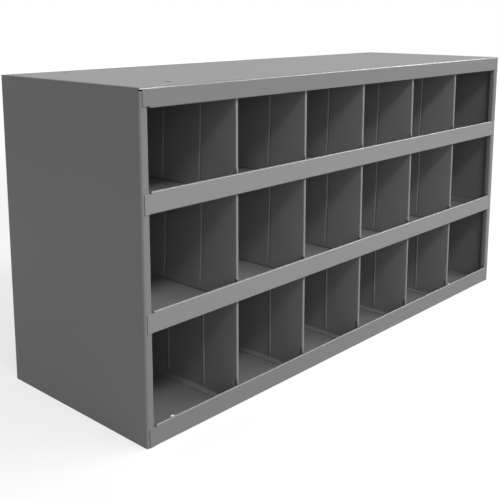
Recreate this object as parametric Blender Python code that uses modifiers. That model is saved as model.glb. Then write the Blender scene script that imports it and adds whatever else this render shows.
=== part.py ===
"""Steel bin cabinet: a top pan, two side panels, three hemmed trays, a back sheet and rows of dividers.

Metres, +Z up. The front faces -Y, +X is the viewer's right, and the origin is on the floor under
the middle of the cabinet. Every piece is laid out on the middle of its sheet: a flat blank is pulled
out and folded edge by edge, as on a press brake, and Solidify then gives it its thickness.
"""

import math

import bmesh
import bpy
from mathutils import Matrix, Vector

# Outside of the cabinet
CABINET_WIDTH = 0.9144
CABINET_DEPTH = 0.3048
CABINET_HEIGHT = 0.4572

# Bins: rows are counted from the floor, columns from the left
ROW_NAMES = ("bottom", "middle", "top")
TRAY_NAMES = ("bottom_tray", "lower_shelf", "upper_shelf")
COLUMN_COUNT = 6
ROW_PITCH = 0.1514
COLUMN_PITCH = 0.146

# Sheet, bends and hems: the panels are the top and the sides
BODY_SHEET = 0.0009
DIVIDER_SHEET = 0.0008
BEND_INSIDE = 0.0011
PANEL_BEND_INSIDE = 0.0021
HEM_INSIDE = 0.001
HEM_RETURN = 0.0065
BEND_STEPS = 4
HEM_STEPS = 8

# Top pan and side panels: the rail is the top's folded front edge, and the posts are the sides'
RAIL_HEIGHT = 0.0254
TOP_FLANGE = 0.0127
REAR_FLANGE = 0.014
POST_WIDTH = 0.013
POST_RETURN = 0.009
HEM_SHORT_OF_POST = 0.0046
LAP_INSET = 0.0045
LAP_STEP = 0.0025
FRONT_RELIEF = 0.0055
REAR_RELIEF = 0.013
SIDE_DROP = 0.0003

# Trays
LIP_HEIGHT = 0.028
TRAY_FLANGE = 0.0115
LAP_RELIEF = 0.0012

# Dividers: the slots' heights are given row by row, from the floor up
DIVIDER_OFFSET = 0.003
DIVIDER_SETBACK = 0.005
DIVIDER_HEM_INSIDE = 0.0012
DIVIDER_FLANGE = 0.0127
FLANGE_RELIEF = 0.002
BEAD_COUNT = 3
BEAD_FROM_FRONT = 0.072
BEAD_PITCH = 0.0765
BEAD_WIDTH = 0.005
BEAD_DEPTH = 0.0013
BEAD_END = 0.002
BEAD_TAPER = 0.005
SLOT_BEHIND_HEM = 0.0015
SLOT_WIDTH = 0.0026
SLOTS_ABOVE_LIP = (0.008, 0.001, 0.001)

# Bolt holes in the top and in the bottom tray
BOLT_HOLE = 0.008
BOLT_HOLE_FROM_SIDE = 0.081
BOLT_HOLE_FROM_FRONT = 0.042
HOLE_SIDES = 32

# Clearances
FIT_GAP = 0.0003
POST_CLEARANCE = 0.001
BACK_CLEARANCE = 0.002
CUT_OVERSHOOT = 0.005

# Paint
PAINT_COLOUR = (0.23, 0.23, 0.233, 1.0)
PAINT_ROUGHNESS = 0.4
SMOOTH_BELOW = math.radians(40.0)
SAME_PLACE = 1e-6

X_AXIS = Vector((1.0, 0.0, 0.0))
Y_AXIS = Vector((0.0, 1.0, 0.0))
Z_AXIS = Vector((0.0, 0.0, 1.0))
QUARTER_TURN = math.radians(90.0)
HALF_TURN = math.radians(180.0)

# Places that several pieces share
HALF_WIDTH = CABINET_WIDTH / 2
FRONT = -CABINET_DEPTH / 2
REAR = CABINET_DEPTH / 2
BODY_MIDDLE = BODY_SHEET / 2
TRAY_BEND = BEND_INSIDE + BODY_MIDDLE
PANEL_BEND = PANEL_BEND_INSIDE + BODY_MIDDLE
BODY_HEM = HEM_INSIDE + BODY_MIDDLE
POST_FACE = FRONT + BODY_SHEET + FIT_GAP
LIP_END = HALF_WIDTH - POST_WIDTH - POST_CLEARANCE
HEM_END = HALF_WIDTH - POST_WIDTH - HEM_SHORT_OF_POST
SIDE_FLANGE = HALF_WIDTH - BODY_SHEET - FIT_GAP - BODY_MIDDLE
BACK_SHEET_FACE = REAR - 2 * BODY_SHEET - FIT_GAP
TRAY_REAR_FACE = BACK_SHEET_FACE - FIT_GAP - BODY_SHEET
TOP_UNDERSIDE = CABINET_HEIGHT - BODY_SHEET


def near(a, b):
    """Two places along an axis are the same."""
    return abs(a - b) < SAME_PLACE


def free_edges(bm, test):
    """Open edges of the sheet whose two ends both pass a test on their place."""
    return [e for e in bm.edges if e.is_boundary and all(test(v.co) for v in e.verts)]


def lengthen(bm, edges):
    """Adds a strip to the sheet along these edges and returns its new verts and edges, still in place."""
    made = bmesh.ops.extrude_edge_only(bm, edges=edges)["geom"]
    verts = [g for g in made if isinstance(g, bmesh.types.BMVert)]
    fresh = set(verts)
    leading = [g for g in made if isinstance(g, bmesh.types.BMEdge) and fresh.issuperset(g.verts)]
    return verts, leading


def pull(bm, edges, step):
    """Carries the sheet straight on from these edges and returns its new edges."""
    verts, leading = lengthen(bm, edges)
    bmesh.ops.translate(bm, verts=verts, vec=step)
    return leading


def fold(bm, edges, heading, toward, radius, angle=QUARTER_TURN, steps=BEND_STEPS):
    """Bends the sheet on from these edges, from its heading towards another direction."""
    centre = edges[0].verts[0].co + toward * radius
    turn = Matrix.Rotation(angle / steps, 3, heading.cross(toward))
    for _ in range(steps):
        verts, edges = lengthen(bm, edges)
        bmesh.ops.rotate(bm, verts=verts, cent=centre, matrix=turn)
    return edges


def flange(bm, edges, heading, toward, radius, length):
    """Folds the sheet square and carries it straight on by a length."""
    edges = fold(bm, edges, heading, toward, radius)
    return pull(bm, edges, toward * length)


def hem(bm, edges, heading, toward, radius):
    """Folds the sheet back flat on itself, which makes a safe rounded edge."""
    edges = fold(bm, edges, heading, toward, radius, HALF_TURN, HEM_STEPS)
    return pull(bm, edges, -heading * HEM_RETURN)


def blank(left, right, front, rear, height):
    """A flat rectangle of sheet to start from."""
    bm = bmesh.new()
    bmesh.ops.create_grid(bm, x_segments=1, y_segments=1, size=0.5)
    bmesh.ops.scale(bm, verts=bm.verts, vec=(right - left, rear - front, 1.0))
    middle = ((left + right) / 2, (front + rear) / 2, height)
    bmesh.ops.translate(bm, verts=bm.verts, vec=middle)
    return bm


def between_posts(edges):
    """Those of a front edge's edges that lie between the posts, where it is hemmed."""
    return [e for e in edges if all(abs(v.co.x) < HEM_END + SAME_PLACE for v in e.verts)]


def upright(x, y, levels):
    """An upright line with a vert at each level, and its edges, to pull a sheet from."""
    bm = bmesh.new()
    verts = [bmesh.ops.create_vert(bm, co=(x, y, z))["vert"][0] for z in levels]
    return bm, [bm.edges.new(pair) for pair in zip(verts, verts[1:])]


def paint(name):
    """Grey baked paint for one piece."""
    material = bpy.data.materials.new(name + "_paint")
    material.use_nodes = True
    shader = material.node_tree.nodes["Principled BSDF"]
    shader.inputs["Base Color"].default_value = PAINT_COLOUR
    shader.inputs["Roughness"].default_value = PAINT_ROUGHNESS
    shader.inputs["Metallic"].default_value = 0.0
    return material


def sheet_piece(name, bm, thickness, place=(0.0, 0.0, 0.0)):
    """Makes an object of a folded sheet, gives it its thickness and hangs it on the cabinet."""
    mesh = bpy.data.meshes.new(name)
    bmesh.ops.recalc_face_normals(bm, faces=bm.faces)
    bm.to_mesh(mesh)
    bm.free()
    mesh.shade_smooth()
    mesh.set_sharp_from_angle(angle=SMOOTH_BELOW)
    mesh.materials.append(paint(name))
    piece = bpy.data.objects.new(name, mesh)
    parts.objects.link(piece)
    piece.parent = cabinet
    piece.location = place
    solid = piece.modifiers.new("sheet", "SOLIDIFY")
    solid.thickness = thickness
    solid.offset = 0.0
    solid.use_even_offset = True
    return piece


def drill(piece, name, height):
    """Cuts the four bolt holes through a flat sheet at a height in the cabinet."""
    bm = bmesh.new()
    across = HALF_WIDTH - BOLT_HOLE_FROM_SIDE
    along = -FRONT - BOLT_HOLE_FROM_FRONT
    for x in (-across, across):
        for y in (-along, along):
            bmesh.ops.create_cone(
                bm,
                cap_ends=True,
                segments=HOLE_SIDES,
                radius1=BOLT_HOLE / 2,
                radius2=BOLT_HOLE / 2,
                depth=BODY_SHEET + 2 * CUT_OVERSHOOT,
                matrix=Matrix.Translation((x, y, height)),
            )
    mesh = bpy.data.meshes.new(name)
    bm.to_mesh(mesh)
    bm.free()
    cutter = bpy.data.objects.new(name, mesh)
    cutters.objects.link(cutter)
    cutter.parent = cabinet
    cutter.display_type = "WIRE"
    cutter.hide_render = True
    cut = piece.modifiers.new(name, "BOOLEAN")
    cut.operation = "DIFFERENCE"
    cut.solver = "EXACT"
    cut.object = cutter


def make_top():
    """The top pan: a hemmed rail in front, and flanges turned down at the rear and inside the sides."""
    height = CABINET_HEIGHT - BODY_MIDDLE
    rail_end = HALF_WIDTH - LAP_INSET
    rear_end = HALF_WIDTH - REAR_FLANGE - POST_CLEARANCE
    rail_bend = FRONT + BODY_MIDDLE + PANEL_BEND
    rear_bend = REAR - BODY_MIDDLE - PANEL_BEND
    side_front = FRONT + FRONT_RELIEF
    side_rear = REAR - REAR_RELIEF

    # The corners are left out, so that each edge can be folded by itself.
    columns = sorted((rear_end, HEM_END, rail_end, SIDE_FLANGE - PANEL_BEND))
    bm = blank(-columns[0], columns[0], side_front, side_rear, height)
    for out in (-X_AXIS, X_AXIS):
        side = free_edges(bm, lambda p: near(p.x, out.x * columns[0]))
        for inner, outer in zip(columns, columns[1:]):
            side = pull(bm, side, out * (outer - inner))
        flange(bm, side, out, -Z_AXIS, PANEL_BEND, TOP_FLANGE - BODY_MIDDLE - PANEL_BEND)

    # The rail laps the posts and is hemmed between them.
    rail = free_edges(bm, lambda p: near(p.y, side_front) and abs(p.x) < rail_end + SAME_PLACE)
    rail = pull(bm, rail, Y_AXIS * (rail_bend - side_front))
    lap_length = RAIL_HEIGHT - LAP_STEP - BODY_MIDDLE - PANEL_BEND
    rail = flange(bm, rail, -Y_AXIS, -Z_AXIS, PANEL_BEND, lap_length)
    rail = pull(bm, between_posts(rail), -Z_AXIS * (LAP_STEP - BODY_HEM - BODY_MIDDLE))
    hem(bm, rail, -Z_AXIS, Y_AXIS, BODY_HEM)

    # The rear flange runs between those of the sides and carries the back sheet.
    rear = free_edges(bm, lambda p: near(p.y, side_rear) and abs(p.x) < rear_end + SAME_PLACE)
    rear = pull(bm, rear, Y_AXIS * (rear_bend - side_rear))
    flange(bm, rear, Y_AXIS, -Z_AXIS, PANEL_BEND, REAR_FLANGE - BODY_MIDDLE - PANEL_BEND)

    top = sheet_piece("top_panel", bm, BODY_SHEET)
    drill(top, "top_bolt_holes", height)


def make_side(name, out):
    """A side panel: its front edge is folded twice into a post and its rear edge into a flange."""
    wall = out.x * (HALF_WIDTH - BODY_MIDDLE)
    post_bend = POST_FACE + BODY_MIDDLE + PANEL_BEND
    rear_bend = REAR - BODY_MIDDLE - PANEL_BEND
    wall_front = FRONT + FRONT_RELIEF
    wall_top = CABINET_HEIGHT - SIDE_DROP
    post_top = TOP_UNDERSIDE - PANEL_BEND_INSIDE - FIT_GAP

    bm, start = upright(wall, wall_front, (0.0, post_top, wall_top))
    rear = pull(bm, start, Y_AXIS * (rear_bend - wall_front))
    flange(bm, rear, Y_AXIS, -out, PANEL_BEND, REAR_FLANGE - BODY_MIDDLE - PANEL_BEND)

    # The post stays low enough to pass under the rail's bend.
    post = free_edges(bm, lambda p: near(p.y, wall_front) and p.z < post_top + SAME_PLACE)
    post = pull(bm, post, Y_AXIS * (post_bend - wall_front))
    post = flange(bm, post, -Y_AXIS, -out, PANEL_BEND, POST_WIDTH - 2 * (BODY_MIDDLE + PANEL_BEND))
    flange(bm, post, -out, Y_AXIS, PANEL_BEND, POST_RETURN - BODY_MIDDLE - PANEL_BEND)

    sheet_piece(name, bm, BODY_SHEET)


def make_tray(name, underside):
    """A shelf tray: flanges turned up at the sides and rear, and a hemmed lip whose ends lap the posts."""
    floor = BODY_MIDDLE
    notch = POST_FACE + POST_RETURN + POST_CLEARANCE
    side_bend = SIDE_FLANGE - TRAY_BEND
    rear_bend = TRAY_REAR_FACE + BODY_MIDDLE - TRAY_BEND
    lip_bend = FRONT + BODY_MIDDLE + TRAY_BEND
    flange_rise = TRAY_FLANGE - BODY_MIDDLE - TRAY_BEND

    bm = blank(-HEM_END, HEM_END, notch, rear_bend, floor)
    for out in (-X_AXIS, X_AXIS):
        side = free_edges(bm, lambda p: near(p.x, out.x * HEM_END))
        side = pull(bm, side, out * (LIP_END - HEM_END))
        side = pull(bm, side, out * (side_bend - LIP_END))
        flange(bm, side, out, Z_AXIS, TRAY_BEND, flange_rise)
    rear = free_edges(bm, lambda p: near(p.y, rear_bend) and abs(p.x) < LIP_END + SAME_PLACE)
    flange(bm, rear, Y_AXIS, Z_AXIS, TRAY_BEND, flange_rise)

    # The lip rises from the floor, and its hem stops short of the posts.
    lip = free_edges(bm, lambda p: near(p.y, notch) and abs(p.x) < LIP_END + SAME_PLACE)
    lip = pull(bm, lip, Y_AXIS * (lip_bend - notch))
    lap_top = LIP_HEIGHT - LAP_STEP
    lip_foot = BODY_MIDDLE + TRAY_BEND
    lip = flange(bm, lip, -Y_AXIS, Z_AXIS, TRAY_BEND, lap_top - lip_foot)
    lip_face = lip[0].verts[0].co.y
    lip = pull(bm, between_posts(lip), Z_AXIS * (LAP_STEP - BODY_HEM - BODY_MIDDLE))
    hem(bm, lip, Z_AXIS, Y_AXIS, BODY_HEM)

    # Each end of the lip runs on past a relief nick and laps the post.
    for out in (-X_AXIS, X_AXIS):
        def on_lap(p):
            return near(p.x, out.x * LIP_END) and near(p.y, lip_face) and p.z < lap_top + SAME_PLACE

        lap = free_edges(bm, on_lap)
        lap = pull(bm, lap, out * LAP_RELIEF)
        pull(bm, lap, out * (HALF_WIDTH - LAP_INSET - LIP_END - LAP_RELIEF))
        nick = LIP_END + LAP_RELIEF - SAME_PLACE
        foot = free_edges(bm, lambda p: p.x * out.x > nick and near(p.y, lip_face) and near(p.z, lip_foot))
        pull(bm, foot, -Z_AXIS * lip_foot)

    return sheet_piece(name, bm, BODY_SHEET, (0.0, 0.0, underside))


def make_back():
    """A flat sheet inside the rear flanges of the top and the sides."""
    half = HALF_WIDTH - BODY_SHEET - BACK_CLEARANCE
    foot = BACK_CLEARANCE
    head = TOP_UNDERSIDE - BACK_CLEARANCE
    bm = blank(-half, half, foot, head, 0.0)
    bmesh.ops.rotate(bm, verts=bm.verts, matrix=Matrix.Rotation(QUARTER_TURN, 3, X_AXIS))
    sheet_piece("back_sheet", bm, BODY_SHEET, (0.0, BACK_SHEET_FACE + BODY_MIDDLE, 0.0))


def divider_stations(front, rear):
    """Places along the depth where a divider's sheet changes, with the share of the bead's depth there."""
    slot_front = front + SLOT_BEHIND_HEM
    slot_rear = slot_front + SLOT_WIDTH
    flange_start = front + HEM_RETURN + FLANGE_RELIEF
    stations = [(front, 0.0), (slot_front, 0.0), (slot_rear, 0.0), (flange_start, 0.0)]
    for i in range(BEAD_COUNT):
        crest = FRONT + BEAD_FROM_FRONT + BEAD_PITCH * i
        for step in range(-2, 3):
            share = (1.0 + math.cos(math.pi * step / 2)) / 2
            stations.append((crest + BEAD_WIDTH * step / 4, share))
    stations.append((rear, 0.0))
    return stations, slot_front, slot_rear, flange_start


def make_divider(name, place, clear_height, slot_above_lip, hand):
    """A channel with pressed beads: its hem lies on the right, its flanges and beads on either hand."""
    middle = DIVIDER_SHEET / 2
    bend = BEND_INSIDE + middle
    hem_bend = DIVIDER_HEM_INSIDE + middle
    turned = X_AXIS * hand
    foot = FIT_GAP + middle + bend
    head = clear_height - foot
    slot_top = LIP_HEIGHT - BODY_SHEET + slot_above_lip
    bead_foot = foot + BEAD_END
    bead_head = head - BEAD_END
    levels = [foot, bead_foot, bead_foot + BEAD_TAPER, slot_top, bead_head - BEAD_TAPER, bead_head, head]
    front = FRONT + DIVIDER_SETBACK + middle + hem_bend
    rear = TRAY_REAR_FACE - BEND_INSIDE - FIT_GAP
    stations, slot_front, slot_rear, flange_start = divider_stations(front, rear)

    # The web starts as an upright line at its front edge and is pulled back from station to station.
    bm, edges = upright(0.0, front, levels)
    for (y, share), (last_y, _) in zip(stations[1:], stations):
        edges = pull(bm, edges, Y_AXIS * (y - last_y))
        for vert in {v for e in edges for v in e.verts}:
            pressed = bead_foot + SAME_PLACE < vert.co.z < bead_head - SAME_PLACE
            vert.co.x = hand * BEAD_DEPTH * share if pressed else 0.0

    # A slot frees the hem from the bottom flange while they are folded.
    slot_middle = (slot_front + slot_rear) / 2

    def in_slot(p):
        return near(p.y, slot_middle) and p.z < slot_top

    cut = [f for f in bm.faces if in_slot(f.calc_center_median())]
    bmesh.ops.delete(bm, geom=cut, context="FACES")

    # Flanges run along the foot and the head behind the hem.
    reach = DIVIDER_FLANGE - bend - middle
    for height, heading in ((foot, -Z_AXIS), (head, Z_AXIS)):
        run = free_edges(bm, lambda p: near(p.z, height) and p.y > flange_start - SAME_PLACE)
        flange(bm, run, heading, turned, bend, reach)
    lead = free_edges(bm, lambda p: near(p.y, front))
    hem(bm, lead, -Y_AXIS, X_AXIS, hem_bend)

    sheet_piece(name, bm, DIVIDER_SHEET, place)


for old in list(bpy.data.objects):
    bpy.data.objects.remove(old)
parts = bpy.data.collections.new("bin_cabinet")
cutters = bpy.data.collections.new("bin_cabinet_cutters")
for collection in (parts, cutters):
    bpy.context.scene.collection.children.link(collection)
cabinet = bpy.data.objects.new("cabinet_origin", None)
parts.objects.link(cabinet)

make_top()
make_side("left_side_panel", -X_AXIS)
make_side("right_side_panel", X_AXIS)
for level, tray_name in enumerate(TRAY_NAMES):
    tray = make_tray(tray_name, level * ROW_PITCH)
    if level == 0:
        drill(tray, "bottom_bolt_holes", BODY_MIDDLE)
make_back()

first_divider = DIVIDER_OFFSET - COLUMN_PITCH * (COLUMN_COUNT - 2) / 2
for level, row_name in enumerate(ROW_NAMES):
    tray_floor = level * ROW_PITCH + BODY_SHEET
    is_top_row = level == len(ROW_NAMES) - 1
    ceiling = TOP_UNDERSIDE if is_top_row else (level + 1) * ROW_PITCH
    turned_to = -1 if level == 0 else 1
    for column in range(COLUMN_COUNT - 1):
        divider_name = f"divider_{row_name}_{column + 1}"
        divider_place = (first_divider + column * COLUMN_PITCH, 0.0, tray_floor)
        make_divider(divider_name, divider_place, ceiling - tray_floor, SLOTS_ABOVE_LIP[level], turned_to)
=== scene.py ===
"""Looks of a steel bin cabinet: folded and welded sheet in grey baked paint, on a white studio floor.

Metres, +Z up, with the front towards -Y. The sections follow the cabinet as it is put together: the
trays, the dividers between them, the back sheet, the side panels and the top, and then the studio.
"""

import math

import bmesh
import bpy
from mathutils import Matrix, Quaternion, Vector


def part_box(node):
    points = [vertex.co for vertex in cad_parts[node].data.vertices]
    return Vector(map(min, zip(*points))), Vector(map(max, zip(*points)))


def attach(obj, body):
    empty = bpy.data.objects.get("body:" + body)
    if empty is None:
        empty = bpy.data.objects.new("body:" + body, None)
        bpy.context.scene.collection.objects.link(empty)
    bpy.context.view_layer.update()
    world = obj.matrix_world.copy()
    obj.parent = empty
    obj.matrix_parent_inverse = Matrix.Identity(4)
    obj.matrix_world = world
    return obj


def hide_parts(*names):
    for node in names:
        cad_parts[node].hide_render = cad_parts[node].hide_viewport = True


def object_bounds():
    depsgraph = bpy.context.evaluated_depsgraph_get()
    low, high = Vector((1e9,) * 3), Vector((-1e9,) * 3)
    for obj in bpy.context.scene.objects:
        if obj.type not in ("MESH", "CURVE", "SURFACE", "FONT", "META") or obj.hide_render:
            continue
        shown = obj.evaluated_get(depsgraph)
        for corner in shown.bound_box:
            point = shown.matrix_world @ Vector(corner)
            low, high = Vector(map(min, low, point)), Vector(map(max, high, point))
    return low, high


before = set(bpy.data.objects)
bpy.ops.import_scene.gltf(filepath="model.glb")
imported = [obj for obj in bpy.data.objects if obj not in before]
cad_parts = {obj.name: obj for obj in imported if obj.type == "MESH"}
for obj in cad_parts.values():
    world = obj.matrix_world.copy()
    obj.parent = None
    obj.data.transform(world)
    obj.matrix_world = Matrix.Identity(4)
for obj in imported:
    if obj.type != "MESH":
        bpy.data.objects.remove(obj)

cad_low, cad_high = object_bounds()

# Trays
# The floor of each row is a pan of 0.9 mm mild steel, folded on a press brake. Its lip is hemmed, so
# that no raw edge meets a hand, and runs on at both ends as tabs that lap the posts. Flanges turned up at
# its ends and its rear are spot welded to the side panels and the back sheet.
SHEET = 0.0009
MIDDLE = SHEET / 2
BEND_INSIDE = 0.0005
BEND = BEND_INSIDE + MIDDLE
BEND_STEPS = 8
HEM_INSIDE = 0.001
HEM = HEM_INSIDE + MIDDLE
HEM_STEPS = 12
HEM_RETURN = 0.0065
CELL = 0.024
FIT_GAP = 0.0003
LAP_GAP = 0.00005
POST_WIDTH = 0.013
POST_RETURN = 0.009
POST_CLEARANCE = 0.001
HEM_SHORT_OF_POST = 0.0026
LAP_INSET = 0.0045
LAP_STEP = 0.0025
LAP_RELIEF = 0.0012
TRAY_FLANGE = 0.0115
LIP_LEANS = {"bottom_tray": 0.0, "lower_shelf": math.radians(1.7), "upper_shelf": math.radians(1.7)}
EDGE_ROUND = 0.0002
EDGE_SEGMENTS = 2
EDGE_ANGLE = math.radians(50.0)
SAME_PLACE = 1e-6

RIGHT = Vector((1.0, 0.0, 0.0))
BACK = Vector((0.0, 1.0, 0.0))
UP = Vector((0.0, 0.0, 1.0))
QUARTER_TURN = math.radians(90.0)
HALF_TURN = math.radians(180.0)

HALF_WIDTH = cad_high.x
FRONT = cad_low.y
POST_FACE = FRONT + SHEET + LAP_GAP
LIP_END = HALF_WIDTH - POST_WIDTH - POST_CLEARANCE
HEM_END = HALF_WIDTH - POST_WIDTH - HEM_SHORT_OF_POST


def near(a, b):
    """Two places along an axis are the same."""
    return abs(a - b) < SAME_PLACE


def free_edges(bm, test):
    """Open edges of the sheet whose two ends both pass a test on their place."""
    return [e for e in bm.edges if e.is_boundary and all(test(v.co) for v in e.verts)]


def lengthen(bm, edges):
    """Adds a strip to the sheet along these edges and returns its new verts and edges, still in place."""
    made = bmesh.ops.extrude_edge_only(bm, edges=edges)["geom"]
    verts = [g for g in made if isinstance(g, bmesh.types.BMVert)]
    fresh = set(verts)
    leading = [g for g in made if isinstance(g, bmesh.types.BMEdge) and fresh.issuperset(g.verts)]
    return verts, leading


def pull(bm, edges, step):
    """Carries the sheet straight on from these edges, cell by cell, and returns its new edges."""
    cells = max(1, round(step.length / CELL))
    for _ in range(cells):
        verts, edges = lengthen(bm, edges)
        bmesh.ops.translate(bm, verts=verts, vec=step / cells)
    return edges


def fold(bm, edges, heading, toward, radius, angle=QUARTER_TURN, steps=BEND_STEPS):
    """Bends the sheet on from these edges, from its heading towards another direction."""
    centre = edges[0].verts[0].co + toward * radius
    turn = Matrix.Rotation(angle / steps, 3, heading.cross(toward))
    for _ in range(steps):
        verts, edges = lengthen(bm, edges)
        bmesh.ops.rotate(bm, verts=verts, cent=centre, matrix=turn)
    return edges


def flange(bm, edges, heading, toward, radius, length):
    """Folds the sheet square and carries it straight on by a length."""
    edges = fold(bm, edges, heading, toward, radius)
    return pull(bm, edges, toward * length)


def hem(bm, edges, heading, toward, radius):
    """Folds the sheet back on itself, which makes a safe rounded edge."""
    edges = fold(bm, edges, heading, toward, radius, HALF_TURN, HEM_STEPS)
    return pull(bm, edges, -heading * HEM_RETURN)


def between_posts(edges):
    """Those of a front edge's edges that lie between the posts, where it is hemmed."""
    return [e for e in edges if all(abs(v.co.x) < HEM_END + SAME_PLACE for v in e.verts)]


def flat_blank(left, right, front, rear, height):
    """A flat rectangle of sheet in cells, to start from."""
    bm = bmesh.new()
    columns = round((right - left) / CELL)
    rows = round((rear - front) / CELL)
    bmesh.ops.create_grid(bm, x_segments=columns, y_segments=rows, size=0.5)
    bmesh.ops.scale(bm, verts=bm.verts, vec=(right - left, rear - front, 1.0))
    bmesh.ops.translate(bm, verts=bm.verts, vec=((left + right) / 2, (front + rear) / 2, height))
    return bm


WELD_RADIUS = 0.0026
WELD_DEPTH = 0.00022
WELD_SIDES = 20
WELD_RINGS = ((0.28, 0.35), (0.27, 0.5), (0.25, 0.15))
PATCH_MARGIN = 1.4
PATCH_INSET = 0.2
FLAT_ENOUGH = 0.999


def round_patch(bm, place, facing, radius):
    """Opens a round face in the flat sheet at a place, to press or to punch."""
    bm.normal_update()

    def reached(face):
        if abs(face.normal.dot(facing)) < FLAT_ENOUGH:
            return False
        if abs((face.verts[0].co - place).dot(facing)) > SAME_PLACE:
            return False
        reach = Vector()
        for axis in range(3):
            side = [v.co[axis] for v in face.verts]
            reach[axis] = max(min(side) - place[axis], place[axis] - max(side), 0.0)
        return reach.length < radius * PATCH_MARGIN

    cells = [f for f in bm.faces if reached(f)]
    patch = cells[0]
    if len(cells) > 1:
        patch = bmesh.ops.dissolve_faces(bm, faces=cells, use_verts=True)["region"][0]
    bmesh.ops.inset_individual(bm, faces=[patch], thickness=radius * PATCH_INSET, use_even_offset=True)
    cuts = math.ceil(WELD_SIDES / len(patch.verts)) - 1
    bmesh.ops.bisect_edges(bm, edges=list(patch.edges), cuts=cuts)
    across = (patch.verts[0].co - place).normalized() * radius
    turn = 2 * math.pi / len(patch.verts)
    axis = patch.normal.copy()
    for i, vert in enumerate(patch.verts):
        vert.co = place + Matrix.Rotation(turn * i, 3, axis) @ across
    return patch


def press_weld(bm, place, facing, radius=WELD_RADIUS):
    """Presses a spot welder's dimple in rings, each with its share of the radius and of the depth."""
    patch = round_patch(bm, place, facing, radius)
    for width, drop in WELD_RINGS:
        bmesh.ops.inset_individual(bm, faces=[patch], thickness=width * radius, use_even_offset=True)
        bmesh.ops.translate(bm, verts=patch.verts, vec=-facing * WELD_DEPTH * drop)


BOLT_HOLE = 0.008
BOLT_HOLE_FROM_SIDE = 0.081
BOLT_HOLE_FROM_FRONT = 0.042
HOLE_RIM = 0.0003


def punch_bolt_holes(bm, height):
    """Punches the four bolt holes through a flat sheet, and marks their walls for painted shade, a dark
    colour that stands in for the shade inside the holes.
    """
    painted_hole_shade = bm.verts.layers.float.new("painted_hole_shade")
    across = HALF_WIDTH - BOLT_HOLE_FROM_SIDE
    along = -FRONT - BOLT_HOLE_FROM_FRONT
    for x in (-across, across):
        for y in (-along, along):
            patch = round_patch(bm, Vector((x, y, height)), UP, BOLT_HOLE / 2 + HOLE_RIM)
            bmesh.ops.inset_individual(bm, faces=[patch], thickness=HOLE_RIM, use_even_offset=True)
            for vert in patch.verts:
                vert[painted_hole_shade] = 1.0
            bmesh.ops.delete(bm, geom=[patch], context="FACES")


def new_group(name, inputs, outputs):
    """A shader node group with its sockets, and its input and output nodes."""
    group = bpy.data.node_groups.new(name, "ShaderNodeTree")
    for label, kind in inputs:
        group.interface.new_socket(name=label, in_out="INPUT", socket_type=kind)
    for label, kind in outputs:
        group.interface.new_socket(name=label, in_out="OUTPUT", socket_type=kind)
    return group, group.nodes.new("NodeGroupInput"), group.nodes.new("NodeGroupOutput")


def noise(tree, vector, scale, detail):
    """A noise texture on a vector, with its scale taken from a socket or a number."""
    node = tree.nodes.new("ShaderNodeTexNoise")
    node.inputs["Detail"].default_value = detail
    tree.links.new(vector, node.inputs["Vector"])
    if isinstance(scale, float):
        node.inputs["Scale"].default_value = scale
    else:
        tree.links.new(scale, node.inputs["Scale"])
    return node.outputs["Fac"]


def sum_up(tree, operation, first, second):
    """One step of arithmetic between sockets or numbers."""
    node = tree.nodes.new("ShaderNodeMath")
    node.operation = operation
    for socket, value in zip(node.inputs, (first, second)):
        if isinstance(value, float):
            socket.default_value = value
        else:
            tree.links.new(value, socket)
    return node.outputs["Value"]


# Sprayed paint draws up into a fine ripple, the orange peel, over a slower wave from the spray passes.
PEEL_WAVE = 0.16
PEEL_WAVE_HEIGHT = 1.6
orange_peel, peel_in, peel_out = new_group(
    "orange_peel",
    (("Vector", "NodeSocketVector"), ("Ripples", "NodeSocketFloat")),
    (("Height", "NodeSocketFloat"),),
)
peel_fine = noise(orange_peel, peel_in.outputs["Vector"], peel_in.outputs["Ripples"], detail=1.0)
peel_slow_scale = sum_up(orange_peel, "MULTIPLY", peel_in.outputs["Ripples"], PEEL_WAVE)
peel_slow = noise(orange_peel, peel_in.outputs["Vector"], peel_slow_scale, detail=1.0)
peel_slow_height = sum_up(orange_peel, "MULTIPLY", peel_slow, PEEL_WAVE_HEIGHT)
peel_height = sum_up(orange_peel, "ADD", peel_fine, peel_slow_height)
orange_peel.links.new(peel_height, peel_out.inputs["Height"])

# The coat is a little thicker here and thinner there, which shifts its tone and its gloss.
COAT_PATCHES = 7.0
COAT_SPECKS = 900.0
NOISE_MIDDLE = 0.5
# Painted shade: where a sheet marks the walls of its bolt holes, the colour is darkened to stand in for
# the shade inside them.
PAINTED_HOLE_SHADE = 0.85
coat_drift_and_shade, drift_in, drift_out = new_group(
    "coat_drift_and_shade",
    (
        ("Vector", "NodeSocketVector"),
        ("Colour", "NodeSocketColor"),
        ("Tone Spread", "NodeSocketFloat"),
        ("Roughness", "NodeSocketFloat"),
        ("Gloss Spread", "NodeSocketFloat"),
        ("Painted Hole Shade", "NodeSocketFloat"),
    ),
    (("Colour", "NodeSocketColor"), ("Roughness", "NodeSocketFloat")),
)
drift_patches = noise(coat_drift_and_shade, drift_in.outputs["Vector"], COAT_PATCHES, detail=3.0)
drift_specks = noise(coat_drift_and_shade, drift_in.outputs["Vector"], COAT_SPECKS, detail=2.0)
drift_sum = sum_up(coat_drift_and_shade, "ADD", drift_patches, drift_specks)
drift_mean = sum_up(coat_drift_and_shade, "MULTIPLY", drift_sum, 0.5)
drift_swing = sum_up(coat_drift_and_shade, "SUBTRACT", drift_mean, NOISE_MIDDLE)
drift_tone = sum_up(coat_drift_and_shade, "MULTIPLY", drift_swing, drift_in.outputs["Tone Spread"])
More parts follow.
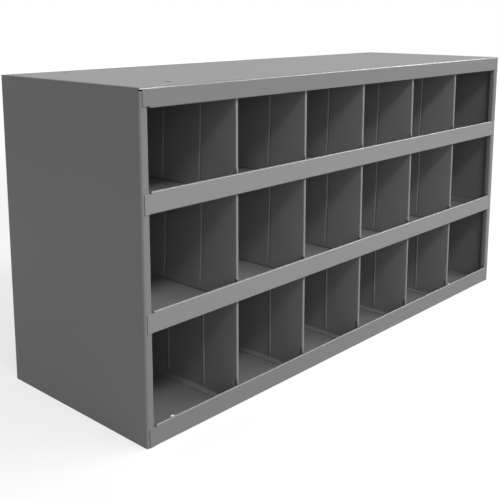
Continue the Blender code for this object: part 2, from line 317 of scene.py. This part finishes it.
# Painted shade for the inside of the bolt holes: the colour is darkened where the mark is set.
drift_hole_shade = sum_up(coat_drift_and_shade, "MULTIPLY", drift_in.outputs["Painted Hole Shade"], -PAINTED_HOLE_SHADE)
drift_tint = sum_up(coat_drift_and_shade, "ADD", drift_tone, 1.0)
drift_unshaded = sum_up(coat_drift_and_shade, "ADD", drift_hole_shade, 1.0)
drift_scale = sum_up(coat_drift_and_shade, "MULTIPLY", drift_tint, drift_unshaded)
drift_shade = coat_drift_and_shade.nodes.new("ShaderNodeVectorMath")
drift_shade.operation = "SCALE"
coat_drift_and_shade.links.new(drift_in.outputs["Colour"], drift_shade.inputs[0])
coat_drift_and_shade.links.new(drift_scale, drift_shade.inputs["Scale"])
coat_drift_and_shade.links.new(drift_shade.outputs["Vector"], drift_out.inputs["Colour"])
drift_gloss = sum_up(coat_drift_and_shade, "MULTIPLY", drift_swing, drift_in.outputs["Gloss Spread"])
drift_roughness = sum_up(coat_drift_and_shade, "ADD", drift_gloss, drift_in.outputs["Roughness"])
coat_drift_and_shade.links.new(drift_roughness, drift_out.inputs["Roughness"])

PAINT_GREY = (0.233, 0.233, 0.236, 1.0)
# Painted light: the shelves and the dividers take a lighter copy of the frame's grey, which stands in for
# the extra light that their lips, hems and floors catch.
LIT_SHELF_GREY = (0.28, 0.28, 0.283, 1.0)
PAINT_GLOSS = 0.9
TONE_SPREAD = 0.12
GLOSS_SPREAD = 0.16


def baked_paint(name, colour, roughness, ripples, ripple_depth):
    """Grey baked paint with its own gloss and its own depth of orange peel."""
    material = bpy.data.materials.new(name)
    material.use_nodes = True
    tree = material.node_tree
    shader = tree.nodes["Principled BSDF"]
    shader.inputs["Specular IOR Level"].default_value = PAINT_GLOSS
    place = tree.nodes.new("ShaderNodeTexCoord").outputs["Object"]
    drift = tree.nodes.new("ShaderNodeGroup")
    drift.node_tree = coat_drift_and_shade
    drift.inputs["Colour"].default_value = colour
    drift.inputs["Tone Spread"].default_value = TONE_SPREAD
    drift.inputs["Roughness"].default_value = roughness
    drift.inputs["Gloss Spread"].default_value = GLOSS_SPREAD
    tree.links.new(place, drift.inputs["Vector"])
    # The walls of the bolt holes carry a mark that darkens the colour there, painted shade for the inside
    # of the holes.
    painted_hole_shade = tree.nodes.new("ShaderNodeAttribute")
    painted_hole_shade.attribute_name = "painted_hole_shade"
    tree.links.new(painted_hole_shade.outputs["Fac"], drift.inputs["Painted Hole Shade"])
    tree.links.new(drift.outputs["Colour"], shader.inputs["Base Color"])
    tree.links.new(drift.outputs["Roughness"], shader.inputs["Roughness"])
    peel = tree.nodes.new("ShaderNodeGroup")
    peel.node_tree = orange_peel
    peel.inputs["Ripples"].default_value = ripples
    tree.links.new(place, peel.inputs["Vector"])
    bump = tree.nodes.new("ShaderNodeBump")
    bump.inputs["Distance"].default_value = ripple_depth
    tree.links.new(peel.outputs["Height"], bump.inputs["Height"])
    tree.links.new(bump.outputs["Normal"], shader.inputs["Normal"])
    return material


def finish_sheet(name, bm, sheet, paint):
    """Gives a folded sheet its thickness and soft edges, paints it and sets it in its node's place."""
    bmesh.ops.recalc_face_normals(bm, faces=bm.faces)
    mesh = bpy.data.meshes.new("painted_" + name)
    bm.to_mesh(mesh)
    bm.free()
    mesh.shade_smooth()
    mesh.materials.append(paint)
    piece = bpy.data.objects.new(mesh.name, mesh)
    bpy.context.scene.collection.objects.link(piece)
    body = piece.modifiers.new("sheet", "SOLIDIFY")
    body.thickness = sheet
    body.offset = 0.0
    body.use_even_offset = True
    edges = piece.modifiers.new("soft_edges", "BEVEL")
    edges.width = EDGE_ROUND
    edges.segments = EDGE_SEGMENTS
    edges.limit_method = "ANGLE"
    edges.angle_limit = EDGE_ANGLE
    edges.use_clamp_overlap = False
    piece.modifiers.new("flat_faces", "WEIGHTED_NORMAL")
    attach(piece, "root")
    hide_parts(name)


TRAY_WELD_RISE = 0.0075
TRAY_WELDS_FROM_FRONT = (0.046, 0.136, 0.226)
TAB_WELD_FROM_SIDE = 0.0068
TAB_WELD_RISE = 0.007
TAB_WELD_RADIUS = 0.0012

tray_paint = baked_paint("tray_paint", PAINT_GREY, roughness=0.3, ripples=520.0, ripple_depth=0.00002)
# The shelves take the lighter grey, painted light for the extra light on their lips and floors.
shelf_paint = baked_paint("shelf_paint", LIT_SHELF_GREY, roughness=0.3, ripples=520.0, ripple_depth=0.00002)


def lean_lip(bm, underside, lean):
    """Leans the lip back between its tabs, as a long thin fold springs away from the square."""
    lip_reach = FRONT + 2 * (MIDDLE + HEM + MIDDLE)
    for vert in bm.verts:
        if vert.co.y < lip_reach and abs(vert.co.x) < LIP_END:
            share = math.sqrt(math.cos(math.pi / 2 * vert.co.x / LIP_END))
            vert.co.y += (vert.co.z - underside) * math.tan(lean) * share


def make_tray(name):
    """One tray, folded up from its floor."""
    low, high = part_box(name)
    floor = low.z + MIDDLE
    notch = POST_FACE + POST_RETURN + POST_CLEARANCE
    lip_bend = FRONT + MIDDLE + BEND
    side_bend = high.x - MIDDLE - BEND
    rear_bend = high.y - MIDDLE - BEND
    flange_rise = TRAY_FLANGE - MIDDLE - BEND
    lip_foot = floor + BEND
    lap_top = high.z - LAP_STEP

    bm = flat_blank(-HEM_END, HEM_END, notch, rear_bend, floor)
    for out in (-RIGHT, RIGHT):
        side = free_edges(bm, lambda p: near(p.x, out.x * HEM_END))
        side = pull(bm, side, out * (LIP_END - HEM_END))
        side = pull(bm, side, out * (side_bend - LIP_END))
        flange(bm, side, out, UP, BEND, flange_rise)
    rear = free_edges(bm, lambda p: near(p.y, rear_bend) and abs(p.x) < LIP_END + SAME_PLACE)
    flange(bm, rear, BACK, UP, BEND, flange_rise)

    lip = free_edges(bm, lambda p: near(p.y, notch) and abs(p.x) < LIP_END + SAME_PLACE)
    lip = pull(bm, lip, BACK * (lip_bend - notch))
    lip = flange(bm, lip, -BACK, UP, BEND, lap_top - lip_foot)
    lip_face = lip[0].verts[0].co.y
    lip = pull(bm, between_posts(lip), UP * (LAP_STEP - HEM - MIDDLE))
    hem(bm, lip, UP, BACK, HEM)

    # The ends of the lip run on past a relief nick and lap the posts.
    for out in (-RIGHT, RIGHT):
        def on_lap(p):
            return near(p.x, out.x * LIP_END) and near(p.y, lip_face) and p.z < lap_top + SAME_PLACE

        lap = free_edges(bm, on_lap)
        lap = pull(bm, lap, out * LAP_RELIEF)
        pull(bm, lap, out * (HALF_WIDTH - LAP_INSET - LIP_END - LAP_RELIEF))
        nick = LIP_END + LAP_RELIEF - SAME_PLACE
        foot = free_edges(bm, lambda p: p.x * out.x > nick and near(p.y, lip_face) and near(p.z, lip_foot))
        pull(bm, foot, UP * (low.z - lip_foot))
        tab_weld = Vector((out.x * (HALF_WIDTH - TAB_WELD_FROM_SIDE), lip_face, low.z + TAB_WELD_RISE))
        press_weld(bm, tab_weld, -BACK, TAB_WELD_RADIUS)
        for from_front in TRAY_WELDS_FROM_FRONT:
            weld = Vector((out.x * (high.x - MIDDLE), FRONT + from_front, low.z + TRAY_WELD_RISE))
            press_weld(bm, weld, -out)

    lean_lip(bm, low.z, LIP_LEANS[name])
    if name == "bottom_tray":
        punch_bolt_holes(bm, floor)
    finish_sheet(name, bm, SHEET, tray_paint if name == "bottom_tray" else shelf_paint)


for tray_name in LIP_LEANS:
    make_tray(tray_name)

# Dividers
# Channels of 0.8 mm sheet part the bins, welded by their flanges to the sheets above and below. Each has
# an open hem at its front edge and three upright beads that stiffen its web. In the bottom row the flanges
# and beads are turned to the left and the hem to the right, and in the rows above all to the right.
DIVIDERS_IN_ROW = 5
DIVIDER_SHEET = 0.0008
DIVIDER_MIDDLE = DIVIDER_SHEET / 2
DIVIDER_BEND = BEND_INSIDE + DIVIDER_MIDDLE
DIVIDER_HEM_INSIDE = 0.0015
DIVIDER_HEM = DIVIDER_HEM_INSIDE + DIVIDER_MIDDLE
DIVIDER_NOSE = 0.001
DIVIDER_FLANGE = 0.0127
FLANGE_RELIEF = 0.002
BEAD_COUNT = 3
BEAD_FROM_FRONT = 0.072
BEAD_PITCH = 0.0765
BEAD_WIDTH = 0.005
BEAD_DEPTH = 0.0013
BEAD_STEPS = 8
BEAD_END = 0.002
BEAD_TAPER = 0.005
BEAD_TAPER_STEPS = 4
SLOT_BEHIND_HEM = 0.0015
SLOT_WIDTH = 0.0026
SLOTS_ABOVE_LIP = {"bottom": 0.008, "middle": 0.0, "top": 0.0}
FOOT_PINCHES = {"bottom": (0.0015, 0.011), "middle": (0.0025, 0.0035), "top": (0.0022, 0.007)}
HEAD_PINCHES = {"bottom": 0.0015, "middle": 0.0, "top": 0.0012}
PINCH_REACH = 0.009
PINCH_STEPS = 4
DIVIDER_WELDS = (0.036, 0.11, 0.187, 0.262)
DIVIDER_TWIST = 0.0055
TWIST_DEPTH = 0.06

# The dividers take the lighter grey, painted light for the extra light on their faces and hems.
divider_paint = baked_paint(
    "divider_paint", LIT_SHELF_GREY, roughness=0.38, ripples=480.0, ripple_depth=0.000024
)


def rounded(share):
    """Eases a share from 0 to 1 with a round start and a round end."""
    return (1.0 - math.cos(math.pi * min(max(share, 0.0), 1.0))) / 2


def upright_line(x, y, marks):
    """An upright line with a vert at each mark and at each cell between them, to pull a sheet from."""
    bm = bmesh.new()
    line = bmesh.ops.create_vert(bm, co=(x, y, marks[0]))["vert"]
    edges = []
    for low_mark, high_mark in zip(marks, marks[1:]):
        cells = max(1, round((high_mark - low_mark) / CELL))
        for i in range(cells):
            level = low_mark + (high_mark - low_mark) * (i + 1) / cells
            line += bmesh.ops.create_vert(bm, co=(x, y, level))["vert"]
            edges.append(bm.edges.new(line[-2:]))
    return bm, edges


def make_divider(name, row, hand):
    """One divider, with its flanges and beads on the right or the left hand."""
    low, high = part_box(name)
    web = low.x + (DIVIDER_MIDDLE if hand > 0 else DIVIDER_FLANGE - DIVIDER_MIDDLE)
    turned = RIGHT * hand
    foot = low.z + DIVIDER_MIDDLE + DIVIDER_BEND
    head = high.z - DIVIDER_MIDDLE - DIVIDER_BEND
    front = low.y + DIVIDER_MIDDLE + DIVIDER_HEM
    tray_low, tray_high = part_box("bottom_tray")
    lip_top = low.z - FIT_GAP - SHEET + tray_high.z - tray_low.z
    slot_top = lip_top + SLOTS_ABOVE_LIP[row]
    slot_front = front + SLOT_BEHIND_HEM
    slot_rear = slot_front + SLOT_WIDTH
    flange_start = front + HEM_RETURN + FLANGE_RELIEF
    bead_foot = foot + BEAD_END
    bead_head = head - BEAD_END
    taper = [BEAD_TAPER * i / BEAD_TAPER_STEPS for i in range(BEAD_TAPER_STEPS + 1)]
    foot_pinch, foot_reach = FOOT_PINCHES[row]
    pinch = [lip_top + foot_reach * i / PINCH_STEPS for i in range(PINCH_STEPS + 1)]
    levels = [foot] + [bead_foot + t for t in taper] + sorted(set(pinch + [slot_top]))
    levels += [head - PINCH_REACH] + [bead_head - t for t in reversed(taper)] + [head]
    crests = [FRONT + BEAD_FROM_FRONT + BEAD_PITCH * i for i in range(BEAD_COUNT)]
    stations = [front, slot_front, slot_rear, flange_start]
    for crest in crests:
        stations += [crest + BEAD_WIDTH * (i / BEAD_STEPS - 0.5) for i in range(BEAD_STEPS + 1)]
    stations.append(high.y)

    # The web is pulled back from its front edge and its beads are pressed.
    bm, edges = upright_line(web, front, levels)
    for last, station in zip(stations, stations[1:]):
        edges = pull(bm, edges, BACK * (station - last))
    for vert in bm.verts:
        from_end = min(vert.co.z - bead_foot, bead_head - vert.co.z)
        from_crest = min(abs(vert.co.y - crest) for crest in crests)
        pressed = rounded(1.0 - from_crest / (BEAD_WIDTH / 2)) * rounded(from_end / BEAD_TAPER)
        vert.co.x += hand * BEAD_DEPTH * pressed

    # A slot frees the hem from the bottom flange while they are folded.
    def in_slot(p):
        return slot_front < p.y < slot_rear and p.z < slot_top

    slot = [f for f in bm.faces if in_slot(f.calc_center_median())]
    bmesh.ops.delete(bm, geom=slot, context="FACES")

    reach = DIVIDER_FLANGE - DIVIDER_BEND - DIVIDER_MIDDLE
    for height, heading in ((foot, -UP), (head, UP)):
        run = free_edges(bm, lambda p: near(p.z, height) and p.y > flange_start - SAME_PLACE)
        flange(bm, run, heading, turned, DIVIDER_BEND, reach)
        for from_front in DIVIDER_WELDS:
            across = web + hand * (DIVIDER_FLANGE + DIVIDER_BEND) / 2
            weld = Vector((across, FRONT + from_front, height + heading.z * DIVIDER_BEND))
            press_weld(bm, weld, -heading)

    # The hem is folded twice round a flat nose, and its ends are pinched where the press let go of it.
    flat = DIVIDER_HEM - DIVIDER_NOSE
    lead = free_edges(bm, lambda p: near(p.y, front))
    lead = pull(bm, lead, -BACK * flat)
    lead = fold(bm, lead, -BACK, RIGHT, DIVIDER_NOSE)
    lead = pull(bm, lead, RIGHT * 2 * flat)
    lead = fold(bm, lead, RIGHT, BACK, DIVIDER_NOSE)
    pull(bm, lead, BACK * (flat + HEM_RETURN))
    for vert in bm.verts:
        if vert.co.y < slot_front + SAME_PLACE:
            from_leaf = (web + 2 * DIVIDER_HEM - vert.co.x) / (2 * DIVIDER_HEM)
            at_foot = foot_pinch * rounded(1.0 - (vert.co.z - lip_top) / foot_reach)
            at_head = HEAD_PINCHES[row] * rounded(1.0 - (head - vert.co.z) / PINCH_REACH)
            vert.co.x += (at_foot + at_head) * from_leaf

    # The hem holds the front edge straight, and behind it the thin web is welded a little out of upright.
    twist = DIVIDER_TWIST if hand > 0 else 0.0
    for vert in bm.verts:
        behind = rounded((vert.co.y - front) / TWIST_DEPTH)
        vert.co.x -= twist * behind * ((high.z - vert.co.z) / (high.z - low.z)) ** 2
    finish_sheet(name, bm, DIVIDER_SHEET, divider_paint)


for divider_row in SLOTS_ABOVE_LIP:
    divider_hand = -1 if divider_row == "bottom" else 1
    for divider_number in range(1, DIVIDERS_IN_ROW + 1):
        make_divider(f"divider_{divider_row}_{divider_number}", divider_row, divider_hand)

# Back sheet
# A plain sheet closes the rear. It is spot welded to the trays' rear flanges, and it lies inside the
# rear flanges of the top and the sides. Between the rows of welds the thin sheet bows in a little.
BACK_BOW = 0.0007

panel_paint = baked_paint("panel_paint", PAINT_GREY, roughness=0.2, ripples=560.0, ripple_depth=0.000016)


def bow_share(place, marks):
    """How far a place is into the span between two of these marks: 0 at a mark, 1 half way."""
    for low_mark, high_mark in zip(marks, marks[1:]):
        if low_mark < place < high_mark:
            return rounded(2 * min(place - low_mark, high_mark - place) / (high_mark - low_mark))
    return 0.0


weld_levels = [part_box(tray_name)[0].z + TRAY_WELD_RISE for tray_name in LIP_LEANS]
weld_levels.append(cad_high.z - TRAY_WELD_RISE)

back_low, back_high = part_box("back_sheet")
back_middle = (back_low.y + back_high.y) / 2
back_bm, back_edges = upright_line(back_low.x, back_middle, (back_low.z, back_high.z))
pull(back_bm, back_edges, RIGHT * (back_high.x - back_low.x))
bin_ends = [cad_low.x + SHEET]
bin_ends += [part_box(f"divider_top_{i + 1}")[0].x for i in range(DIVIDERS_IN_ROW)]
bin_ends.append(cad_high.x - SHEET)
for level in weld_levels[:-1]:
    for left_end, right_end in zip(bin_ends, bin_ends[1:]):
        press_weld(back_bm, Vector(((left_end + right_end) / 2, back_middle, level)), BACK)
for back_vert in back_bm.verts:
    back_across = math.cos(math.pi / 2 * back_vert.co.x / HALF_WIDTH)
    back_vert.co.y -= BACK_BOW * bow_share(back_vert.co.z, weld_levels) * math.sqrt(back_across)
finish_sheet("back_sheet", back_bm, SHEET, panel_paint)

# Side panels
# Each side is one sheet. Its front edge is folded twice into a hollow post and its rear edge into a
# flange, and rows of spot welds, seen as shallow dimples, hold it to the trays and the top.
PANEL_BEND_INSIDE = 0.0021
PANEL_BEND = PANEL_BEND_INSIDE + MIDDLE
REAR_FLANGE = 0.014
FRONT_RELIEF = 0.0055
SIDE_BOW = 0.00035
TOP_WELDS_FROM_FRONT = (0.014, 0.098, 0.191, 0.284)
REAR_WELDS = 5
REAR_WELD_FROM_SIDE = 0.0075
POST_DROP = 0.0012


def make_side(name, out):
    """One side panel, with its post in front and its flange at the rear."""
    low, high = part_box(name)
    wall = out.x * (HALF_WIDTH - MIDDLE)
    wall_front = FRONT + FRONT_RELIEF
    post_bend = POST_FACE + MIDDLE + PANEL_BEND
    post_top = cad_high.z - SHEET - PANEL_BEND_INSIDE - FIT_GAP
    rear_face = high.y - MIDDLE
    rear_bend = rear_face - PANEL_BEND

    bm, start = upright_line(wall, wall_front, (low.z, post_top, high.z))
    rear = pull(bm, start, BACK * (rear_bend - wall_front))
    flange(bm, rear, BACK, -out, PANEL_BEND, REAR_FLANGE - MIDDLE - PANEL_BEND)
    post = free_edges(bm, lambda p: near(p.y, wall_front) and p.z < post_top + SAME_PLACE)
    post = pull(bm, post, BACK * (post_bend - wall_front))
    post = flange(bm, post, -BACK, -out, PANEL_BEND, POST_WIDTH - 2 * (MIDDLE + PANEL_BEND))
    flange(bm, post, -out, BACK, PANEL_BEND, POST_RETURN - MIDDLE - PANEL_BEND)
    for vert in bm.verts:
        if near(vert.co.z, post_top) and vert.co.y < post_bend:
            vert.co.z -= POST_DROP * rounded((post_bend - vert.co.y) / PANEL_BEND)

    for from_front in TOP_WELDS_FROM_FRONT:
        press_weld(bm, Vector((wall, FRONT + from_front, weld_levels[-1])), out)
    for level in weld_levels[:-1]:
        for from_front in TRAY_WELDS_FROM_FRONT:
            press_weld(bm, Vector((wall, FRONT + from_front, level)), out)
    for i in range(REAR_WELDS):
        level = cad_high.z * (i + 0.5) / REAR_WELDS
        press_weld(bm, Vector((out.x * (HALF_WIDTH - REAR_WELD_FROM_SIDE), rear_face, level)), BACK)
    for vert in bm.verts:
        if abs(vert.co.x - wall) < WELD_DEPTH + SAME_PLACE:
            along = bow_share(vert.co.y, (wall_front, rear_bend))
            vert.co.x -= out.x * SIDE_BOW * along * bow_share(vert.co.z, weld_levels)
    finish_sheet(name, bm, SHEET, panel_paint)


make_side("left_side_panel", -RIGHT)
make_side("right_side_panel", RIGHT)

# Top
# The top is a pan turned down all round. In front it is folded into a hemmed rail that laps the posts,
# at the sides into flanges welded inside the panels, and at the rear into a flange for the back sheet.
# Its corners are notched, so that each edge could be folded by itself, and four holes take bolts.
TOP_FLANGE = 0.0127
REAR_RELIEF = 0.013
TOP_REAR_WELDS = 6
CORNER_DROP = 0.0021


def make_top(name):
    """The top, folded down from its flat sheet."""
    low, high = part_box(name)
    height = high.z - MIDDLE
    rail_end = HALF_WIDTH - LAP_INSET
    rear_end = HALF_WIDTH - REAR_FLANGE - POST_CLEARANCE
    flange_bend = high.x - MIDDLE - PANEL_BEND
    rail_bend = FRONT + MIDDLE + PANEL_BEND
    rear_face = high.y - MIDDLE
    rear_bend = rear_face - PANEL_BEND
    side_front = FRONT + FRONT_RELIEF
    side_rear = high.y - REAR_RELIEF

    columns = (HEM_END, rear_end, rail_end, flange_bend)
    bm = flat_blank(-HEM_END, HEM_END, side_front, side_rear, height)
    for out in (-RIGHT, RIGHT):
        side = free_edges(bm, lambda p: near(p.x, out.x * HEM_END))
        for inner, outer in zip(columns, columns[1:]):
            side = pull(bm, side, out * (outer - inner))
        flange(bm, side, out, -UP, PANEL_BEND, TOP_FLANGE - MIDDLE - PANEL_BEND)

    # The rail laps the posts and is hemmed between them.
    rail = free_edges(bm, lambda p: near(p.y, side_front) and abs(p.x) < rail_end + SAME_PLACE)
    corner_rear = side_front - FIT_GAP
    rail = pull(bm, rail, -BACK * FIT_GAP)
    rail = pull(bm, rail, BACK * (rail_bend - corner_rear))
    lap_bottom = low.z + LAP_STEP
    rail = flange(bm, rail, -BACK, -UP, PANEL_BEND, height - PANEL_BEND - lap_bottom)
    rail = pull(bm, between_posts(rail), -UP * (LAP_STEP - HEM - MIDDLE))
    hem(bm, rail, -UP, BACK, HEM)

    # The front bend runs on over the posts to the outside of the cabinet, where its ends are closed.
    corner_end = HALF_WIDTH - MIDDLE
    corner_foot = height - CORNER_DROP
    for out in (-RIGHT, RIGHT):
        def on_corner(p):
            return near(p.x, out.x * rail_end) and p.y < corner_rear + SAME_PLACE and p.z > corner_foot

        end = pull(bm, free_edges(bm, on_corner), out * (corner_end - rail_end))
        cap, _ = lengthen(bm, end)
        for vert in cap:
            vert.co = (out.x * corner_end, corner_rear, corner_foot)
        bmesh.ops.remove_doubles(bm, verts=cap, dist=SAME_PLACE)

    rear = free_edges(bm, lambda p: near(p.y, side_rear) and abs(p.x) < rear_end + SAME_PLACE)
    rear = pull(bm, rear, BACK * (rear_bend - side_rear))
    flange(bm, rear, BACK, -UP, PANEL_BEND, REAR_FLANGE - MIDDLE - PANEL_BEND)

    for i in range(TOP_REAR_WELDS):
        across = HALF_WIDTH * ((2 * i + 1) / TOP_REAR_WELDS - 1)
        press_weld(bm, Vector((across, rear_face, high.z - REAR_WELD_FROM_SIDE)), BACK)
    punch_bolt_holes(bm, height)
    finish_sheet(name, bm, SHEET, panel_paint)


make_top("top_panel")

# Studio floor and backdrop
# A wide pale floor under the cabinet. To the camera the floor and the world behind it are white, and the
# floor keeps the cabinet's soft shadow.
FLOOR_SIZE = 12.0
FLOOR_DROP = 0.0004
FLOOR_GREY = (0.35, 0.35, 0.35, 1.0)
WHITE = (1.0, 1.0, 1.0, 1.0)
FLOOR_GLOW = 0.7
FLOOR_IN_GLOSS = 0.28
WORLD_IN_GLOSS = 0.5
WHITE_FROM = 1.0
WHITE_AT = 3.5
WORLD_LIGHT = 0.28


def backdrop_strength(tree, seen, in_gloss, as_light):
    """The backdrop's brightness to the camera or through glass, in a gloss, and as a light."""
    path = tree.nodes.new("ShaderNodeLightPath")
    straight = sum_up(tree, "MAXIMUM", path.outputs["Is Camera Ray"], path.outputs["Is Transmission Ray"])
    gloss = path.outputs["Is Glossy Ray"]
    other = sum_up(tree, "SUBTRACT", 1.0, sum_up(tree, "MAXIMUM", straight, gloss))
    shown = sum_up(tree, "MULTIPLY", straight, seen)
    mirrored = sum_up(tree, "MULTIPLY", gloss, in_gloss)
    lighting = sum_up(tree, "MULTIPLY", other, as_light)
    return sum_up(tree, "ADD", sum_up(tree, "ADD", shown, mirrored), lighting)


floor_bm = bmesh.new()
bmesh.ops.create_grid(floor_bm, x_segments=1, y_segments=1, size=FLOOR_SIZE / 2)
bmesh.ops.translate(floor_bm, verts=floor_bm.verts, vec=(0.0, 0.0, cad_low.z - FLOOR_DROP))
floor_mesh = bpy.data.meshes.new("studio_floor")
floor_bm.to_mesh(floor_mesh)
floor_bm.free()
floor_material = bpy.data.materials.new("studio_floor")
floor_material.use_nodes = True
floor_tree = floor_material.node_tree
floor_shader = floor_tree.nodes["Principled BSDF"]
floor_shader.inputs["Base Color"].default_value = FLOOR_GREY
floor_shader.inputs["Roughness"].default_value = 1.0
floor_shader.inputs["Specular IOR Level"].default_value = 0.0
floor_shader.inputs["Emission Color"].default_value = WHITE
floor_reach = floor_tree.nodes.new("ShaderNodeVectorMath")
floor_reach.operation = "LENGTH"
floor_place = floor_tree.nodes.new("ShaderNodeTexCoord").outputs["Object"]
floor_tree.links.new(floor_place, floor_reach.inputs[0])
floor_rise = floor_tree.nodes.new("ShaderNodeMapRange")
floor_rise.interpolation_type = "SMOOTHSTEP"
floor_rise.inputs["From Min"].default_value = WHITE_FROM
floor_rise.inputs["From Max"].default_value = WHITE_AT
floor_rise.inputs["To Min"].default_value = FLOOR_GLOW
floor_tree.links.new(floor_reach.outputs["Value"], floor_rise.inputs["Value"])
floor_glow = backdrop_strength(floor_tree, floor_rise.outputs["Result"], FLOOR_IN_GLOSS, 0.0)
floor_tree.links.new(floor_glow, floor_shader.inputs["Emission Strength"])
floor_mesh.materials.append(floor_material)
studio_floor = bpy.data.objects.new("studio_floor", floor_mesh)
bpy.context.scene.collection.objects.link(studio_floor)

world = bpy.data.worlds.new("studio")
world.use_nodes = True
world_tree = world.node_tree
backdrop = world_tree.nodes["Background"]
backdrop.inputs["Color"].default_value = WHITE
world_glow = backdrop_strength(world_tree, 1.0, WORLD_IN_GLOSS, WORLD_LIGHT)
world_tree.links.new(world_glow, backdrop.inputs["Strength"])
bpy.context.scene.world = world

# Studio light
# A long strip softbox hangs in front of the cabinet and above it, with a second one to its right. A narrow
# leaning softbox draws the bright streak near the left end of the top's front bend, and a large weak one,
# low in front and to the left, fills the bins.


def soft_lamp(name, middle, aim, length, height, power, roll=0.0):
    """A rectangular softbox at a place, turned towards another and rolled about that line."""
    lamp = bpy.data.lights.new(name, "AREA")
    lamp.shape = "RECTANGLE"
    lamp.size = length
    lamp.size_y = height
    lamp.energy = power
    softbox = bpy.data.objects.new(name, lamp)
    softbox.location = middle
    turn = (aim - middle).to_track_quat("-Z", "Y") @ Quaternion((0.0, 0.0, 1.0), roll)
    softbox.rotation_euler = turn.to_euler()
    bpy.context.scene.collection.objects.link(softbox)


STRIP_MIDDLE = Vector((-0.08, -1.65, 2.06))
STRIP_AIM = Vector((-0.08, -0.1, 0.4))
soft_lamp("strip_softbox", STRIP_MIDDLE, STRIP_AIM, length=2.68, height=0.4, power=34.0)

LEANING_MIDDLE = Vector((0.92, -1.0, 1.855))
LEANING_AIM = Vector((-0.457, -0.152, 0.457))
LEANING_ROLL = math.radians(-48.0)
soft_lamp(
    "leaning_softbox", LEANING_MIDDLE, LEANING_AIM, length=0.14, height=1.8, power=8.5, roll=LEANING_ROLL
)

RIGHT_MIDDLE = Vector((3.01, -1.33, 2.15))
RIGHT_AIM = Vector((0.11, 0.12, 0.4))
soft_lamp("right_softbox", RIGHT_MIDDLE, RIGHT_AIM, length=2.3, height=0.4, power=43.0)

FILL_MIDDLE = Vector((-1.3, -2.1, 0.9))
FILL_AIM = Vector((-0.2, 0.0, 0.25))
soft_lamp("fill_softbox", FILL_MIDDLE, FILL_AIM, length=1.6, height=1.0, power=5.6)

# Camera
# A slightly long lens, a little higher than the top, looks at the front left corner. Its shift lets the
# camera tilt less, so that the uprights lean less in the picture.
CAMERA_PLACE = Vector((-1.0692, -0.8923, 0.5433))
CAMERA_YAW = math.radians(47.3)
CAMERA_PITCH = math.radians(10.04)
CAMERA_LENS = 58.87
CAMERA_SENSOR = 36.0
CAMERA_SHIFT = -0.185

camera_data = bpy.data.cameras.new("camera")
camera_data.lens = CAMERA_LENS
camera_data.sensor_width = CAMERA_SENSOR
camera_data.shift_y = CAMERA_SHIFT
camera = bpy.data.objects.new("camera", camera_data)
camera.location = CAMERA_PLACE
camera.rotation_euler = (QUARTER_TURN - CAMERA_PITCH, 0.0, -CAMERA_YAW)
bpy.context.scene.collection.objects.link(camera)
bpy.context.scene.camera = camera
bpy.context.scene.view_settings.view_transform = "Standard"
